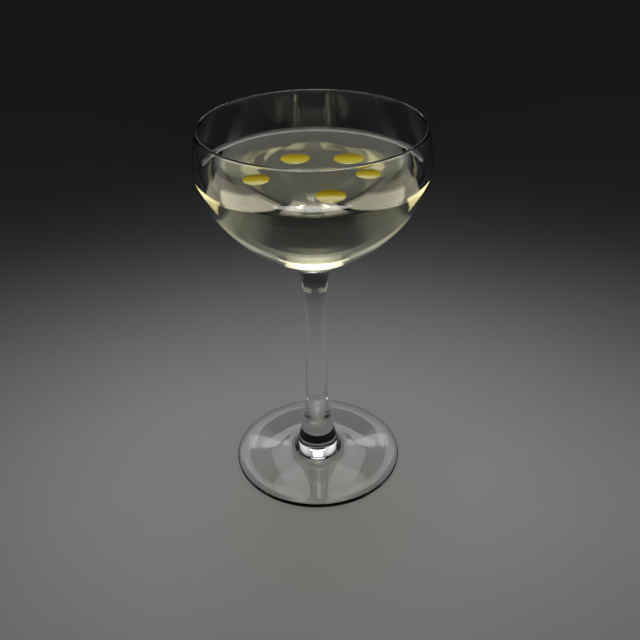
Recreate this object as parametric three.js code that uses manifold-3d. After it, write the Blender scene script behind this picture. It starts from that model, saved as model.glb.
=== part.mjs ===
// A martini in a stemmed coupe glass: the glass, the drink up to its level,
// and five drops of olive oil floating in its surface.
// Millimetres, +Z up, with the origin at the middle of the foot's underside.
import * as THREE from 'three';
import { mergeVertices } from 'three/addons/utils/BufferGeometryUtils.js';
import Module from 'manifold-3d';

const wasm = await Module();
wasm.setup();

// Outside of the bowl
const GLASS_HEIGHT = 168.5;
const RIM_RADIUS = 46;
const WIDEST_RADIUS = 48.2;
const WIDEST_HEIGHT = 151.7;
const BOWL_TIP_HEIGHT = 106;
const BOWL_JOIN_HEIGHT = 110;

// The bowl's side is one curve, fuller than an ellipse below its widest and
// flatter towards its tip, which these two powers set
const DEPTH_POWER = 1.63;
const WIDTH_POWER = 1.483;

// The wall is thin at the rim and thickens to the bottom of the bowl
const RIM_WALL = 1.3;
const SIDE_WALL = 1.4;
const BOTTOM_WALL = 3.4;

// The stem is thinnest at its waist and flares up into the bowl. Downwards it widens
// to a steep cone, which a round fillet joins to the foot
const STEM_RADIUS = 4.65;
const WAIST_HEIGHT = 62;
const NECK_PULL_HEIGHT = 97;
const CONE_PULL_HEIGHT = 22;
const CONE_RADIUS = 10.6;
const CONE_HEIGHT = 7.5;
const CONE_SPREAD = 0.35;
const CONE_REACH = 7;
const FLARE_RADIUS = 17;
const FLARE_HEIGHT = 4.3;
const FLARE_SLOPE = 0.12;
const FILLET_PULL = 0.5;

// The foot has a round edge, rests on a flat ring and is a little hollow inside that
const FOOT_RADIUS = 39.7;
const EDGE_MIDDLE_HEIGHT = 1.2;
const EDGE_TOP_HEIGHT = 2.9;
const EDGE_TOP_RADIUS = 35.5;
const EDGE_TOP_SLOPE = 0.06;
const EDGE_PULL = 0.6;
const TOP_PULL = 0.35;
const REST_OUTER_RADIUS = 38.4;
const REST_INNER_RADIUS = 33;
const UNDERSIDE_RISE = 1.4;

// The drink, and the drops that float almost sunk in it, each at its place in the surface
const DRINK_LEVEL = 150;
const CLEARANCE = 0.3;
const DROP_ABOVE = 0.15;
const DROP_BELOW = 1.5;
const DROPS = [
  { x: -7.3, y: 11.5, radius: 6.0 },
  { x: 14.9, y: 10.5, radius: 6.1 },
  { x: -22.3, y: -10.7, radius: 5.3 },
  { x: 22.1, y: -6.8, radius: 5.0 },
  { x: 6.7, y: -26.8, radius: 5.9 },
];

// Facets
const GLASS_SIDES = 48;
const DROP_SIDES = 24;
const SIDE_STEPS = 11;
const SIDE_CROWDING = 1.4;
const LIP_STEPS = 4;
const STEM_STEPS = 10;
const FOOT_STEPS = 5;
const ROUND_STEPS = 4;

const point = (radius, height) => new THREE.Vector2(radius, height);

// The same surface with its seam and poles closed and no slivers left there
function closed(geometry) {
  geometry.deleteAttribute('normal');
  geometry.deleteAttribute('uv');
  const merged = mergeVertices(geometry);
  const corners = Array.from(merged.index.array);
  const kept = [];
  for (let i = 0; i < corners.length; i += 3) {
    const [a, b, c] = corners.slice(i, i + 3);
    if (a !== b && b !== c && c !== a) {
      kept.push(a, b, c);
    }
  }
  merged.setIndex(kept);
  return merged;
}

// A solid turned about the upright axis from a profile that starts and ends on it
function turned(profile, sides) {
  return closed(new THREE.LatheGeometry(profile, sides).rotateX(Math.PI / 2));
}

// Points along a curve between two ends, pulled by two handles, without its first point
function curve(from, firstHandle, secondHandle, to, steps) {
  return new THREE.CubicBezierCurve(from, firstHandle, secondHandle, to).getPoints(steps).slice(1);
}

// Radius of the bowl's side at a height, given its widest radius and its tip
function sideRadius(height, widestRadius, tipHeight) {
  const depth = (WIDEST_HEIGHT - height) / (WIDEST_HEIGHT - tipHeight);
  return widestRadius * (1 - depth ** DEPTH_POWER) ** (1 / WIDTH_POWER);
}

// Points up the bowl's side, closer together where it is flattest
function sidePoints(fromHeight, toHeight, widestRadius, tipHeight) {
  const points = [];
  for (let i = 0; i <= SIDE_STEPS; i += 1) {
    const height = fromHeight + (toHeight - fromHeight) * (i / SIDE_STEPS) ** SIDE_CROWDING;
    points.push(point(sideRadius(height, widestRadius, tipHeight), height));
  }
  return points;
}

// Points from the bowl's widest up to its lip, where it draws in a little
function lipPoints(widestRadius, rimRadius) {
  const topHeight = GLASS_HEIGHT - RIM_WALL / 2;
  const points = [];
  for (let i = 1; i <= LIP_STEPS; i += 1) {
    const rise = i / LIP_STEPS;
    const radius = widestRadius - (widestRadius - rimRadius) * rise ** 2;
    points.push(point(radius, WIDEST_HEIGHT + (topHeight - WIDEST_HEIGHT) * rise));
  }
  return points;
}

// The underside: a shallow hollow from the axis out to the ring that it rests on
function undersidePoints() {
  const points = [];
  for (let i = 0; i <= ROUND_STEPS; i += 1) {
    const across = i / ROUND_STEPS;
    points.push(point(REST_INNER_RADIUS * across, UNDERSIDE_RISE * (1 - across ** 2)));
  }
  points.push(point(REST_OUTER_RADIUS, 0));
  return points;
}

// The foot's round edge, its low top, the fillet, and the cone that narrows to the waist
function footPoints() {
  const edgeTop = point(EDGE_TOP_RADIUS, EDGE_TOP_HEIGHT);
  const flare = point(FLARE_RADIUS, FLARE_HEIGHT);
  const reach = (FOOT_RADIUS - EDGE_TOP_RADIUS) * EDGE_PULL;
  const inward = (EDGE_TOP_RADIUS - FLARE_RADIUS) * TOP_PULL;
  const fillet = (FLARE_RADIUS - CONE_RADIUS) * FILLET_PULL;
  const cone = point(CONE_RADIUS, CONE_HEIGHT);
  return [
    ...curve(
      point(REST_OUTER_RADIUS, 0),
      point((REST_OUTER_RADIUS + FOOT_RADIUS) / 2, 0),
      point(FOOT_RADIUS, EDGE_MIDDLE_HEIGHT / 2),
      point(FOOT_RADIUS, EDGE_MIDDLE_HEIGHT),
      ROUND_STEPS - 1,
    ),
    ...curve(
      point(FOOT_RADIUS, EDGE_MIDDLE_HEIGHT),
      point(FOOT_RADIUS, EDGE_TOP_HEIGHT - EDGE_MIDDLE_HEIGHT / 2),
      point(EDGE_TOP_RADIUS + reach, EDGE_TOP_HEIGHT - reach * EDGE_TOP_SLOPE),
      edgeTop,
      ROUND_STEPS,
    ),
    ...curve(
      edgeTop,
      point(EDGE_TOP_RADIUS - inward, EDGE_TOP_HEIGHT + inward * EDGE_TOP_SLOPE),
      point(FLARE_RADIUS + inward, FLARE_HEIGHT - inward * FLARE_SLOPE),
      flare,
      FOOT_STEPS,
    ),
    ...curve(
      flare,
      point(FLARE_RADIUS - fillet, FLARE_HEIGHT + fillet * FLARE_SLOPE),
      point(CONE_RADIUS + fillet * CONE_SPREAD, CONE_HEIGHT - fillet),
      cone,
      ROUND_STEPS,
    ),
    ...curve(
      cone,
      point(CONE_RADIUS - CONE_REACH * CONE_SPREAD, CONE_HEIGHT + CONE_REACH),
      point(STEM_RADIUS, CONE_PULL_HEIGHT),
      point(STEM_RADIUS, WAIST_HEIGHT),
      STEM_STEPS,
    ),
  ];
}

// From the waist up into the underside of the bowl
function neckPoints() {
  const join = point(sideRadius(BOWL_JOIN_HEIGHT, WIDEST_RADIUS, BOWL_TIP_HEIGHT), BOWL_JOIN_HEIGHT);
  const step = 0.1;
  const above = sideRadius(BOWL_JOIN_HEIGHT + step, WIDEST_RADIUS, BOWL_TIP_HEIGHT);
  const slope = step / (above - join.x);
  const inward = join.x - STEM_RADIUS;
  return curve(
    point(STEM_RADIUS, WAIST_HEIGHT),
    point(STEM_RADIUS, NECK_PULL_HEIGHT),
    point(STEM_RADIUS, BOWL_JOIN_HEIGHT - inward * slope),
    join,
    STEM_STEPS,
  );
}

// Over the lip, from the outside of the rim to its inside
function rimPoints() {
  const middle = RIM_RADIUS - RIM_WALL / 2;
  const points = [];
  for (let i = 1; i < ROUND_STEPS; i += 1) {
    const turn = (Math.PI * i) / ROUND_STEPS;
    const radius = middle + (RIM_WALL / 2) * Math.cos(turn);
    points.push(point(radius, GLASS_HEIGHT - (RIM_WALL / 2) * (1 - Math.sin(turn))));
  }
  return points;
}

function coupeGlass() {
  const insideRadius = WIDEST_RADIUS - SIDE_WALL;
  const insideTip = BOWL_TIP_HEIGHT + BOTTOM_WALL;
  const inside = [
    ...sidePoints(insideTip, WIDEST_HEIGHT, insideRadius, insideTip),
    ...lipPoints(insideRadius, RIM_RADIUS - RIM_WALL),
  ];
  const outside = [
    ...undersidePoints(),
    ...footPoints(),
    ...neckPoints(),
    ...sidePoints(BOWL_JOIN_HEIGHT, WIDEST_HEIGHT, WIDEST_RADIUS, BOWL_TIP_HEIGHT).slice(1),
    ...lipPoints(WIDEST_RADIUS, RIM_RADIUS),
    ...rimPoints(),
  ];
  return turned([...outside, ...inside.reverse()], GLASS_SIDES);
}

// A drop is a thin lens: a low cap above the drink's level and a deeper one below it
function dropProfile(radius, below, above) {
  const points = [];
  for (let i = -ROUND_STEPS; i <= ROUND_STEPS; i += 1) {
    const share = 1 - Math.abs(i) / ROUND_STEPS;
    const reach = i < 0 ? -below : above;
    points.push(point(radius * share, reach * (1 - share ** 2)));
  }
  return points;
}

function oilDrop({ radius }) {
  return turned(dropProfile(radius, DROP_BELOW, DROP_ABOVE), DROP_SIDES);
}

// What a drop takes out of the drink: room for its lower cap, and the air above that
function pocket({ x, y, radius }) {
  const wide = radius + CLEARANCE;
  const under = dropProfile(wide, DROP_BELOW + CLEARANCE, 0).slice(0, ROUND_STEPS + 1);
  const shape = turned([...under, point(wide, DROP_ABOVE), point(0, DROP_ABOVE)], DROP_SIDES);
  return shape.translate(x, y, DRINK_LEVEL);
}

function toManifold(geometry) {
  return new wasm.Manifold(new wasm.Mesh({
    numProp: 3,
    vertProperties: new Float32Array(geometry.attributes.position.array),
    triVerts: new Uint32Array(geometry.index.array),
  }));
}

function fromManifold(solid) {
  const { vertProperties, triVerts } = solid.getMesh();
  const geometry = new THREE.BufferGeometry();
  geometry.setAttribute('position', new THREE.BufferAttribute(new Float32Array(vertProperties), 3));
  geometry.setIndex(Array.from(triVerts));
  return geometry;
}

// The drink fills the bowl up to its level, just clear of the glass and the drops
function martini() {
  const widest = WIDEST_RADIUS - SIDE_WALL - CLEARANCE;
  const tip = BOWL_TIP_HEIGHT + BOTTOM_WALL + CLEARANCE;
  const profile = [...sidePoints(tip, DRINK_LEVEL, widest, tip), point(0, DRINK_LEVEL)];
  let drink = toManifold(turned(profile, GLASS_SIDES));
  for (const drop of DROPS) {
    drink = drink.subtract(toManifold(pocket(drop)));
  }
  return fromManifold(drink);
}

const glassFinish = new THREE.MeshStandardMaterial({
  color: 0xe8eeee,
  roughness: 0.03,
  metalness: 0,
  transparent: true,
  opacity: 0.35,
});
const drinkFinish = new THREE.MeshStandardMaterial({
  color: 0xe2dfb4,
  roughness: 0.05,
  metalness: 0,
  transparent: true,
  opacity: 0.6,
});
const oilFinish = new THREE.MeshStandardMaterial({ color: 0xd4b413, roughness: 0.08, metalness: 0 });

const group = new THREE.Group();

function add(name, geometry, finish) {
  geometry.computeVertexNormals();
  const mesh = new THREE.Mesh(geometry, finish);
  mesh.name = name;
  group.add(mesh);
  return mesh;
}

add('coupe_glass', coupeGlass(), glassFinish);
add('martini', martini(), drinkFinish);
DROPS.forEach((drop, i) => {
  add(`oil_drop_${i + 1}`, oilDrop(drop), oilFinish).position.set(drop.x, drop.y, DRINK_LEVEL);
});

export default group;
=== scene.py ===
import bpy
import math
from mathutils import Matrix, Vector


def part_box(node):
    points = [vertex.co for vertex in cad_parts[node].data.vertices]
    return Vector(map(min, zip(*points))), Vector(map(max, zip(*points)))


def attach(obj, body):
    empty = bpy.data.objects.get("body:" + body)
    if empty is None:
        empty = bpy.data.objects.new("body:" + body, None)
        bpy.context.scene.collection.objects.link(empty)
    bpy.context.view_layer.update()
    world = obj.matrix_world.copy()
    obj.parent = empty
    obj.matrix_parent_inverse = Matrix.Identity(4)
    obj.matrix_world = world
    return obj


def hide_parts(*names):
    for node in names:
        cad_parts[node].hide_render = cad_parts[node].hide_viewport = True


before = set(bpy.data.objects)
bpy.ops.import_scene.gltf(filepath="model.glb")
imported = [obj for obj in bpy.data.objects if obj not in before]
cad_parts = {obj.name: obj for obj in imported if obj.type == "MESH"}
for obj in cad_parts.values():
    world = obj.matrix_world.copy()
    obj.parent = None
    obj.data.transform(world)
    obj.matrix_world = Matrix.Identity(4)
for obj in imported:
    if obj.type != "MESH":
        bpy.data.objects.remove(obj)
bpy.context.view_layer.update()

# Sizes are in millimetres, and MM turns them into metres
MM = 0.001

# The bowl
GLASS_HEIGHT = 168.5
RIM_RADIUS = 46
WIDEST_RADIUS = 48.2
WIDEST_HEIGHT = 151.7
BOWL_TIP_HEIGHT = 106
BOWL_JOIN_HEIGHT = 110
DEPTH_POWER = 1.63
WIDTH_POWER = 1.483
RIM_WALL = 1.3
SIDE_WALL = 1.4
BOTTOM_WALL = 3.4

# The stem
STEM_RADIUS = 4.65
WAIST_HEIGHT = 62
NECK_PULL_HEIGHT = 97
CONE_PULL_HEIGHT = 22
CONE_RADIUS = 10.6
CONE_HEIGHT = 7.5
CONE_SPREAD = 0.35
CONE_REACH = 7
FLARE_RADIUS = 17
FLARE_HEIGHT = 4.3
FLARE_SLOPE = 0.12
FILLET_PULL = 0.5

# The foot
FOOT_RADIUS = 39.7
EDGE_MIDDLE_HEIGHT = 1.2
EDGE_TOP_HEIGHT = 2.9
EDGE_TOP_RADIUS = 35.5
EDGE_TOP_SLOPE = 0.06
EDGE_PULL = 0.6
TOP_PULL = 0.35
REST_OUTER_RADIUS = 38.4
REST_INNER_RADIUS = 33
UNDERSIDE_RISE = 1.4

# The drink: how far it reaches into the wall, and how it climbs where it wets the glass
DRINK_LEVEL = 150
INTO_WALL = 0.12
MENISCUS_RISE = 1.1
MENISCUS_REACH = 1.2
MENISCUS_SPAN = 7 * MENISCUS_REACH
CLEAR_OF_TOP = 0.2
POCKET_GAP = 0.12

# The drops: a low cap over the level and a deeper one under it, whose look of depth grows
# this many times faster than its real depth
DROP_ABOVE = 0.15
DROP_BELOW = 1.5
DEPTH_GAIN = 3

# The floor lies a hair under the foot, so that the two faces don't fight
FLOOR_GAP = 0.1

# Fineness of the turned pieces, and the bend in degrees from which an edge stays sharp
TURNS = 144
SHARP = 35
SIDE_STEPS = 40
SIDE_CROWDING = 1.6
LIP_STEPS = 12
STEM_STEPS = 34
SLOPE_STEP = 0.1
FOOT_STEPS = 14
ROUND_STEPS = 8
SURFACE_RINGS = 6
LENS_STEPS = 16
LENS_TURNS = 64
LENS_SHARP = 18
MERGE_WITHIN = 0.002


# Modelling by hand


def start():
    """Out of edit mode, with nothing selected."""
    if bpy.context.object and bpy.context.object.mode != "OBJECT":
        bpy.ops.object.mode_set(mode="OBJECT")
    bpy.ops.object.select_all(action="DESELECT")


def name_it(name):
    piece = bpy.context.object
    piece.name = name
    piece.data.name = name
    return piece


def smooth_below(angle):
    """Rounds the shading of the piece in hand, but leaves edges that bend by more degrees than this."""
    bpy.ops.object.shade_smooth_by_angle(angle=math.radians(angle))


def turned(name, outline, turns=TURNS, sharp=SHARP):
    """A piece turned about the upright axis: one corner is extruded along the outline, then spun."""
    start()
    bpy.ops.mesh.primitive_plane_add(size=MM, location=(0, 0, 0))
    piece = name_it(name)
    bpy.ops.object.mode_set(mode="EDIT")
    bpy.ops.mesh.merge(type="CENTER")
    at, *others = [Vector((radius * MM, 0, height * MM)) for radius, height in outline]
    bpy.ops.transform.translate(value=at)
    for to in others:
        bpy.ops.mesh.extrude_vertices_move(TRANSFORM_OT_translate={"value": to - at})
        at = to
    bpy.ops.mesh.select_all(action="SELECT")
    bpy.ops.mesh.spin(steps=turns, angle=math.tau, center=(0, 0, 0), axis=(0, 0, 1))
    bpy.ops.mesh.select_all(action="SELECT")
    bpy.ops.mesh.remove_doubles(threshold=MERGE_WITHIN * MM)
    bpy.ops.mesh.normals_make_consistent(inside=False)
    bpy.ops.object.mode_set(mode="OBJECT")
    smooth_below(sharp)
    return piece


# Outlines, as (radius, height) pairs from the axis round and back to it


def curve(a, b, c, d, steps):
    """Points along a curve from a to d, pulled by the handles b and c, without a itself."""
    points = []
    for i in range(1, steps + 1):
        t = i / steps
        s = 1 - t
        shares = (s**3, 3 * s * s * t, 3 * s * t * t, t**3)
        points.append(tuple(sum(k * v for k, v in zip(shares, values)) for values in zip(a, b, c, d)))
    return points


def side_radius(height, widest, tip):
    depth = (WIDEST_HEIGHT - height) / (WIDEST_HEIGHT - tip)
    return widest * max(0, 1 - depth**DEPTH_POWER) ** (1 / WIDTH_POWER)


def side(low, high, widest, tip):
    rises = [(i / SIDE_STEPS) ** SIDE_CROWDING for i in range(SIDE_STEPS + 1)]
    heights = [low + (high - low) * rise for rise in rises]
    return [(side_radius(h, widest, tip), h) for h in heights]


def lip(widest, rim):
    top = GLASS_HEIGHT - RIM_WALL / 2
    rises = [i / LIP_STEPS for i in range(1, LIP_STEPS + 1)]
    return [(widest - (widest - rim) * r**2, WIDEST_HEIGHT + (top - WIDEST_HEIGHT) * r) for r in rises]


def rim_top():
    middle = RIM_RADIUS - RIM_WALL / 2
    turns = [math.pi * i / ROUND_STEPS for i in range(1, ROUND_STEPS)]
    half = RIM_WALL / 2
    return [(middle + half * math.cos(t), GLASS_HEIGHT - half * (1 - math.sin(t))) for t in turns]


def underside():
    across = [i / FOOT_STEPS for i in range(FOOT_STEPS + 1)]
    hollow = [(REST_INNER_RADIUS * a, UNDERSIDE_RISE * (1 - a**2)) for a in across]
    return hollow + [(REST_OUTER_RADIUS, 0)]


def foot():
    middle = (FOOT_RADIUS, EDGE_MIDDLE_HEIGHT)
    edge_top = (EDGE_TOP_RADIUS, EDGE_TOP_HEIGHT)
    flare = (FLARE_RADIUS, FLARE_HEIGHT)
    reach = (FOOT_RADIUS - EDGE_TOP_RADIUS) * EDGE_PULL
    inward = (EDGE_TOP_RADIUS - FLARE_RADIUS) * TOP_PULL
    fillet = (FLARE_RADIUS - CONE_RADIUS) * FILLET_PULL
    under_edge = curve(
        (REST_OUTER_RADIUS, 0),
        ((REST_OUTER_RADIUS + FOOT_RADIUS) / 2, 0),
        (FOOT_RADIUS, EDGE_MIDDLE_HEIGHT / 2),
        middle,
        ROUND_STEPS,
    )
    over_edge = curve(
        middle,
        (FOOT_RADIUS, EDGE_TOP_HEIGHT - EDGE_MIDDLE_HEIGHT / 2),
        (EDGE_TOP_RADIUS + reach, EDGE_TOP_HEIGHT - reach * EDGE_TOP_SLOPE),
        edge_top,
        ROUND_STEPS,
    )
    top = curve(
        edge_top,
        (EDGE_TOP_RADIUS - inward, EDGE_TOP_HEIGHT + inward * EDGE_TOP_SLOPE),
        (FLARE_RADIUS + inward, FLARE_HEIGHT - inward * FLARE_SLOPE),
        flare,
        FOOT_STEPS,
    )
    cone = (CONE_RADIUS, CONE_HEIGHT)
    to_cone = curve(
        flare,
        (FLARE_RADIUS - fillet, FLARE_HEIGHT + fillet * FLARE_SLOPE),
        (CONE_RADIUS + fillet * CONE_SPREAD, CONE_HEIGHT - fillet),
        cone,
        FOOT_STEPS,
    )
    to_waist = curve(
        cone,
        (CONE_RADIUS - CONE_REACH * CONE_SPREAD, CONE_HEIGHT + CONE_REACH),
        (STEM_RADIUS, CONE_PULL_HEIGHT),
        (STEM_RADIUS, WAIST_HEIGHT),
        STEM_STEPS,
    )
    return under_edge + over_edge + top + to_cone + to_waist


def neck():
    """From the waist up into the underside of the bowl, in line with the bowl's slope there."""
    join = (side_radius(BOWL_JOIN_HEIGHT, WIDEST_RADIUS, BOWL_TIP_HEIGHT), BOWL_JOIN_HEIGHT)
    above = side_radius(BOWL_JOIN_HEIGHT + SLOPE_STEP, WIDEST_RADIUS, BOWL_TIP_HEIGHT)
    slope = SLOPE_STEP / (above - join[0])
    return curve(
        (STEM_RADIUS, WAIST_HEIGHT),
        (STEM_RADIUS, NECK_PULL_HEIGHT),
        (STEM_RADIUS, BOWL_JOIN_HEIGHT - (join[0] - STEM_RADIUS) * slope),
        join,
        STEM_STEPS,
    )


def inside_wall(grow=0.0):
    """The bowl's inside from its bottom up to its widest, or a little into the wall."""
    tip = BOWL_TIP_HEIGHT + BOTTOM_WALL - grow
    return side(tip, WIDEST_HEIGHT, WIDEST_RADIUS - SIDE_WALL + grow, tip)


# Pieces


def make_glass():
    outside = underside() + foot() + neck()
    outside += side(BOWL_JOIN_HEIGHT, WIDEST_HEIGHT, WIDEST_RADIUS, BOWL_TIP_HEIGHT)[1:]
    outside += lip(WIDEST_RADIUS, RIM_RADIUS) + rim_top()
    inside = inside_wall() + lip(WIDEST_RADIUS - SIDE_WALL, RIM_RADIUS - RIM_WALL)
    glass = turned("coupe", outside + inside[::-1])
    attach(glass, "root")
    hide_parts("coupe_glass")
    return glass


def drop_lens(name, middle, radius, shrink=0.0):
    """A thin lens that lies in the drink's level: two shallow caps that meet in a sharp edge."""
    shares = [i / LENS_STEPS for i in range(LENS_STEPS + 1)]
    wide, deep = radius - shrink, DROP_BELOW - shrink
    under = [(wide * share, -deep * (1 - share**2)) for share in shares]
    over = [(wide * share, DROP_ABOVE * (1 - share**2)) for share in shares[-2::-1]]
    lens = turned(name, under + over, LENS_TURNS, LENS_SHARP)
    bpy.ops.object.mode_set(mode="EDIT")
    bpy.ops.mesh.select_all(action="SELECT")
    bpy.ops.transform.translate(value=Vector((middle[0], middle[1], DRINK_LEVEL * MM)))
    bpy.ops.object.mode_set(mode="OBJECT")
    return lens


def drop_places():
    """Name, middle and radius of each drop, from its solid."""
    places = []
    for node in sorted(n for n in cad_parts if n.startswith("oil_drop_")):
        low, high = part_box(node)
        middle = ((low[0] + high[0]) / 2, (low[1] + high[1]) / 2)
        places.append((node, middle, (high[0] - low[0]) / 2 / MM))
    return places


def make_drink():
    """The drink, wetting the wall, with a dip for each drop."""
    wall = inside_wall(INTO_WALL)
    top = DRINK_LEVEL + MENISCUS_RISE
    sides = [(r, h) for r, h in wall if h < top - CLEAR_OF_TOP]
    edge = side_radius(top, WIDEST_RADIUS - SIDE_WALL + INTO_WALL, BOWL_TIP_HEIGHT + BOTTOM_WALL - INTO_WALL)
    inner = edge - INTO_WALL
    surface = [(edge, top)]
    for i in range(FOOT_STEPS + 1):
        back = MENISCUS_SPAN * (i / FOOT_STEPS) ** 2
        surface.append((inner - back, DRINK_LEVEL + MENISCUS_RISE * math.exp(-back / MENISCUS_REACH)))
    surface += [(inner * k / SURFACE_RINGS, DRINK_LEVEL) for k in range(SURFACE_RINGS - 2, -1, -1)]
    drink = turned("martini_drink", sides + surface)
    for node, middle, radius in drop_places():
        cutter = drop_lens("cutter", middle, radius, POCKET_GAP)
        start()
        drink.select_set(True)
        bpy.context.view_layer.objects.active = drink
        cut = drink.modifiers.new("dip", "BOOLEAN")
        cut.operation = "DIFFERENCE"
        cut.solver = "EXACT"
        cut.object = cutter
        bpy.ops.object.modifier_apply(modifier="dip")
        smooth_below(LENS_SHARP)
        bpy.data.objects.remove(cutter)
    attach(drink, "root")
    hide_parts("martini")
    return drink


def note_painted_shade_and_depth(drop, middle, radius):
    """Keeps on each corner a value for the oil's colour: painted shade, nothing at the lit front edge and
    most at the back, and under the level more the deeper the corner lies.
    """
    depth = drop.data.attributes.new("depth", "FLOAT", "POINT")
    for corner, value in zip(drop.data.vertices, depth.data):
        # Painted light and shade: each drop is lighter at its front edge and darker towards its back, fixed
        # along the world's Y
        back = (1 + (corner.co.y - middle[1]) / (radius * MM)) / 2
        below = (DRINK_LEVEL * MM - corner.co.z) / (DROP_BELOW * MM)
        value.value = max(back, min(1, DEPTH_GAIN * below))


def make_drops():
    drops = []
    for node, middle, radius in drop_places():
        drop = drop_lens(node.replace("oil_drop", "floating_oil"), middle, radius)
        note_painted_shade_and_depth(drop, middle, radius)
        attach(drop, "root")
        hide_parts(node)
        drops.append(drop)
    return drops


# Finishes


class Wire:
    """A socket that sums and products can be written with."""

    def __init__(self, finish, socket):
        self.finish = finish
        self.socket = socket

    def maths(self, operation, first, second):
        return self.finish.add("ShaderNodeMath", {"operation": operation}, {0: first, 1: second})

    def __add__(self, other):
        return self.maths("ADD", self, other)

    def __sub__(self, other):
        return self.maths("SUBTRACT", self, other)

    def __mul__(self, other):
        return self.maths("MULTIPLY", self, other)

    def out(self, name):
        return Wire(self.finish, self.socket.node.outputs[name])


class Finish:
    """A material being made."""

    def __init__(self, name):
        self.material = bpy.data.materials.new(name)
        self.material.use_nodes = True
        self.material.node_tree.nodes.clear()
        self.output = self.material.node_tree.nodes.new("ShaderNodeOutputMaterial")

    def add(self, kind, settings=None, values=None):
        """Adds a node, sets it up, and gives its first output."""
        node = self.material.node_tree.nodes.new(kind)
        for key, value in (settings or {}).items():
            if key == "stops":
                while len(node.color_ramp.elements) < len(value):
                    node.color_ramp.elements.new(0.5)
                for stop, (position, colour) in zip(node.color_ramp.elements, value):
                    stop.position = position
                    stop.color = (*colour, 1)
            else:
                setattr(node, key, value)
        for key, value in (values or {}).items():
            if isinstance(value, Wire):
                self.material.node_tree.links.new(value.socket, node.inputs[key])
            else:
                node.inputs[key].default_value = value
        return Wire(self, node.outputs[0])

    def place(self):
        return self.add("ShaderNodeTexCoord").out("Object")

    def noise(self, scale, detail):
        values = {"Vector": self.place(), "Scale": scale, "Detail": detail}
        return self.add("ShaderNodeTexNoise", None, values)

    def end(self, surface, volume=None):
        links = self.material.node_tree.links
        links.new(surface.socket, self.output.inputs["Surface"])
        if volume:
            links.new(volume.socket, self.output.inputs["Volume"])
        return self.material


def lets_lamps_through(finish, shader, tint):
    """The shader, but lamps and the light off the floor go straight through it, for a light shadow."""
    clear = finish.add("ShaderNodeBsdfTransparent", None, {"Color": (*tint, 1)})
    path = finish.add("ShaderNodeLightPath")
    straight = path.out("Is Shadow Ray") + path.out("Is Diffuse Ray")
    return finish.add("ShaderNodeMixShader", None, {0: straight, 1: shader, 2: clear})


def clear_glass():
    finish = Finish("clear_glass")
    waves = finish.noise(30.0, 1.0)
    bump = finish.add("ShaderNodeBump", None, {"Strength": 0.03, "Distance": 0.0004, "Height": waves})
    wiped = finish.noise(95.0, 3.0)
    glass = finish.add("ShaderNodeBsdfPrincipled", None, {
        "Base Color": (0.985, 0.995, 0.99, 1),
        "Roughness": wiped * 0.004,
        "IOR": 1.5,
        "Transmission Weight": 1.0,
        "Normal": bump,
    })
    return finish.end(lets_lamps_through(finish, glass, (0.9, 0.9, 0.9)))


def pale_drink():
    finish = Finish("pale_drink")
    swirl = finish.noise(22.0, 2.0)
    bump = finish.add("ShaderNodeBump", None, {"Strength": 0.02, "Distance": 0.0004, "Height": swirl})
    drink = finish.add("ShaderNodeBsdfPrincipled", None, {
        "Base Color": (1.0, 0.985, 0.85, 1),
        "Roughness": 0.0,
        "IOR": 1.36,
        "Transmission Weight": 1.0,
        "Normal": bump,
    })
    body = finish.add("ShaderNodeVolumeAbsorption", None, {"Color": (0.96, 0.935, 0.55, 1), "Density": 6.0})
    return finish.end(lets_lamps_through(finish, drink, (0.93, 0.925, 0.88)), body)


def golden_oil():
    finish = Finish("golden_oil")
    # The depth attribute carries painted shade: lemon at each drop's lit front, ochre at its back
    depth = finish.add("ShaderNodeAttribute", {"attribute_name": "depth"}).out("Fac")
    cloud = finish.noise(320.0, 3.0)
    # Painted light to painted shade: pale lemon at the front edge, deep ochre at the back and in the deep
    # middle
    painted_light_to_shade_stops = [
        (0.0, (1.0, 0.92, 0.3)),
        (0.28, (1.0, 0.84, 0.08)),
        (0.5, (0.88, 0.69, 0.03)),
        (0.8, (0.45, 0.33, 0.01)),
        (1.0, (0.32, 0.23, 0.006)),
    ]
    colour = finish.add("ShaderNodeValToRGB", {"stops": painted_light_to_shade_stops}, {"Fac": depth + (cloud - 0.5) * 0.12})
    oil = finish.add("ShaderNodeBsdfPrincipled", None, {
        "Base Color": colour,
        "Roughness": 0.04,
        "IOR": 1.47,
        "Specular IOR Level": 0.08,
        "Transmission Weight": 0.05,
    })
    return finish.end(lets_lamps_through(finish, oil, (0.95, 0.85, 0.3)))


def pale_floor():
    finish = Finish("pale_floor")
    grain = finish.noise(9.0, 4.0)
    greys = [(0.3, (0.62, 0.62, 0.62)), (0.7, (0.66, 0.66, 0.66))]
    colour = finish.add("ShaderNodeValToRGB", {"stops": greys}, {"Fac": grain})
    floor = finish.add("ShaderNodeBsdfPrincipled", None, {"Base Color": colour, "Roughness": 0.7})
    return finish.end(floor)


def wear(piece, material):
    piece.data.materials.clear()
    piece.data.materials.append(material)


# The stage: a plain pale floor and soft light, placed in metres
FLOOR_SIZE = 8
BOWL_MIDDLE = (0, 0, 0.14)
SKY_COLOUR = (0.8, 0.9, 1.0, 1)
SKY_GLOW = 0.015
WHITE = (1, 1, 1)
SOFTBOX_SPREAD = 50
CARD_HEIGHT = 0.006
CARD_COLOUR = (1.0, 0.93, 0.7)
CARD_SPREAD = 179

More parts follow.
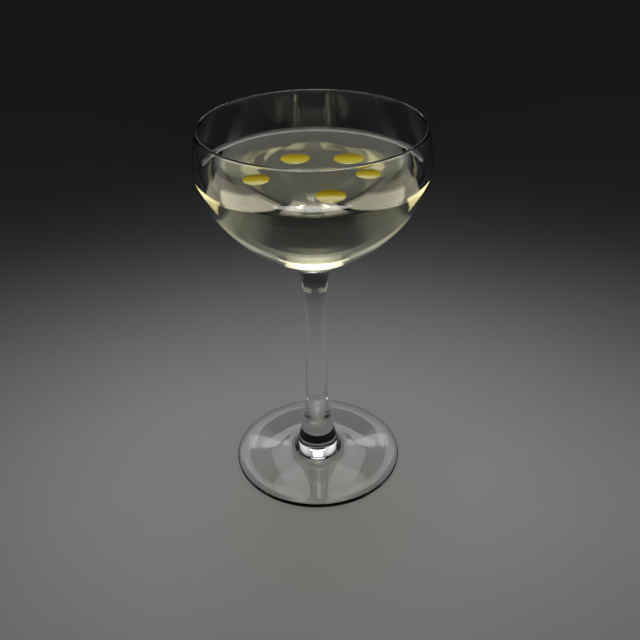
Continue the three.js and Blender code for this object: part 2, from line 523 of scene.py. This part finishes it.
# Each softbox's turn and rise in degrees, its distance, width, height and glow
SOFTBOXES = {
    "overhead": (0, 77, 0.45, 0.3, 0.09, 6.5),
    "overhead_soft": (0, 86, 0.45, 0.75, 0.08, 2.2),
    "high_back": (0, 62, 0.5, 0.3, 0.15, 1.5),
    "arch_top": (0, 40.5, 0.62, 0.2, 0.2, 2.0),
    "rim_strip": (0, 29, 0.62, 0.3, 0.04, 4.0),
    "arch_left": (-30, 34.5, 0.62, 0.37, 0.34, 1.1),
    "arch_right": (30, 34.5, 0.62, 0.37, 0.34, 0.9),
    "arch_low": (0, 15.5, 0.62, 1.1, 0.075, 0.3),
    "left_side": (-105, 35, 0.55, 0.3, 0.4, 0.7),
    "right_side": (105, 35, 0.55, 0.3, 0.4, 0.7),
    "left_strip": (-90, 9, 0.42, 0.12, 0.4, 1.2),
    "right_strip": (90, 9, 0.42, 0.12, 0.4, 1.8),
}

# Each card's near left and far right corners, and its glow
CARDS = {
    "left_card": ((-0.5, -0.45), (-0.23, 0), 4.4),
    "left_back_card": ((-0.5, 0), (-0.23, 0.14), 1.0),
    "left_far_card": ((-0.85, -0.45), (-0.5, 0.1), 1.2),
    "right_card": ((0.23, -0.45), (0.5, 0), 3.7),
    "right_back_card": ((0.23, 0), (0.5, 0.14), 1.0),
    "right_far_card": ((0.5, -0.45), (0.85, 0.1), 1.2),
    "front_left_card": ((-0.18, -0.6), (-0.06, -0.3), 3.0),
    "front_right_card": ((0.06, -0.6), (0.18, -0.3), 3.0),
    "front_card": ((-0.06, -0.6), (0.06, -0.3), 0.5),
}


def make_floor():
    start()
    bpy.ops.mesh.primitive_plane_add(size=FLOOR_SIZE, location=(0, 0, -FLOOR_GAP * MM))
    floor = name_it("floor")
    wear(floor, pale_floor())


def softbox(name, place, spread=SOFTBOX_SPREAD, aim=BOWL_MIDDLE, colour=WHITE):
    """A soft lamp at a turn and a rise, in degrees, from the point that it faces."""
    turn, rise, away, width, height, glow = place
    lamp = bpy.data.lights.new(name, "AREA")
    lamp.shape = "RECTANGLE"
    lamp.size = width
    lamp.size_y = height
    half = math.radians(spread / 2)
    lamp.spread = 2 * half
    lamp.energy = glow * math.pi * width * height * (1 - half / math.tan(half))
    lamp.color = colour
    box = bpy.data.objects.new(name, lamp)
    bpy.context.collection.objects.link(box)
    turn, rise = math.radians(turn), math.radians(rise)
    level = math.cos(rise)
    outward = Vector((math.sin(turn) * level, math.cos(turn) * level, math.sin(rise)))
    box.location = Vector(aim) + away * outward
    box.rotation_euler = (-outward).to_track_quat("-Z", "Y").to_euler()
    box.visible_camera = False


def card(name, near, far, glow):
    """A warm glowing card just over the floor, out of the camera's sight, that faces straight up."""
    aim = ((near[0] + far[0]) / 2, (near[1] + far[1]) / 2, 1.0 + CARD_HEIGHT)
    place = (0, -90, 1.0, far[0] - near[0], far[1] - near[1], glow)
    softbox(name, place, CARD_SPREAD, aim, CARD_COLOUR)


def make_light():
    world = bpy.data.worlds.new("studio")
    world.use_nodes = True
    sky = world.node_tree.nodes["Background"].inputs
    sky["Color"].default_value = SKY_COLOUR
    sky["Strength"].default_value = SKY_GLOW
    bpy.context.scene.world = world
    for name, place in SOFTBOXES.items():
        softbox(name, place)
    for name, (near, far, glow) in CARDS.items():
        card(name, near, far, glow)
    bpy.context.scene.view_settings.view_transform = "Standard"


# The camera, at the photograph's viewing angle
CAMERA_PLACE = (0.0020, -0.3190, 0.2803)
CAMERA_DOWN = 32.43
CAMERA_ROLL = 0.93
FOCAL_LENGTH_PX = 840.4
IMAGE_WIDTH_PX = 640
SENSOR_WIDTH = 36


def make_camera():
    lens = bpy.data.cameras.new("camera")
    lens.sensor_width = SENSOR_WIDTH
    lens.lens = FOCAL_LENGTH_PX / IMAGE_WIDTH_PX * SENSOR_WIDTH
    lens.clip_start = 0.01
    camera = bpy.data.objects.new("camera", lens)
    bpy.context.collection.objects.link(camera)
    tilt = Matrix.Rotation(math.radians(90 - CAMERA_DOWN), 4, "X")
    roll = Matrix.Rotation(math.radians(-CAMERA_ROLL), 4, "Z")
    camera.matrix_world = Matrix.Translation(CAMERA_PLACE) @ tilt @ roll
    bpy.context.scene.camera = camera


make_camera()
wear(make_glass(), clear_glass())
wear(make_drink(), pale_drink())
oil = golden_oil()
for drop in make_drops():
    wear(drop, oil)
make_floor()
make_light()
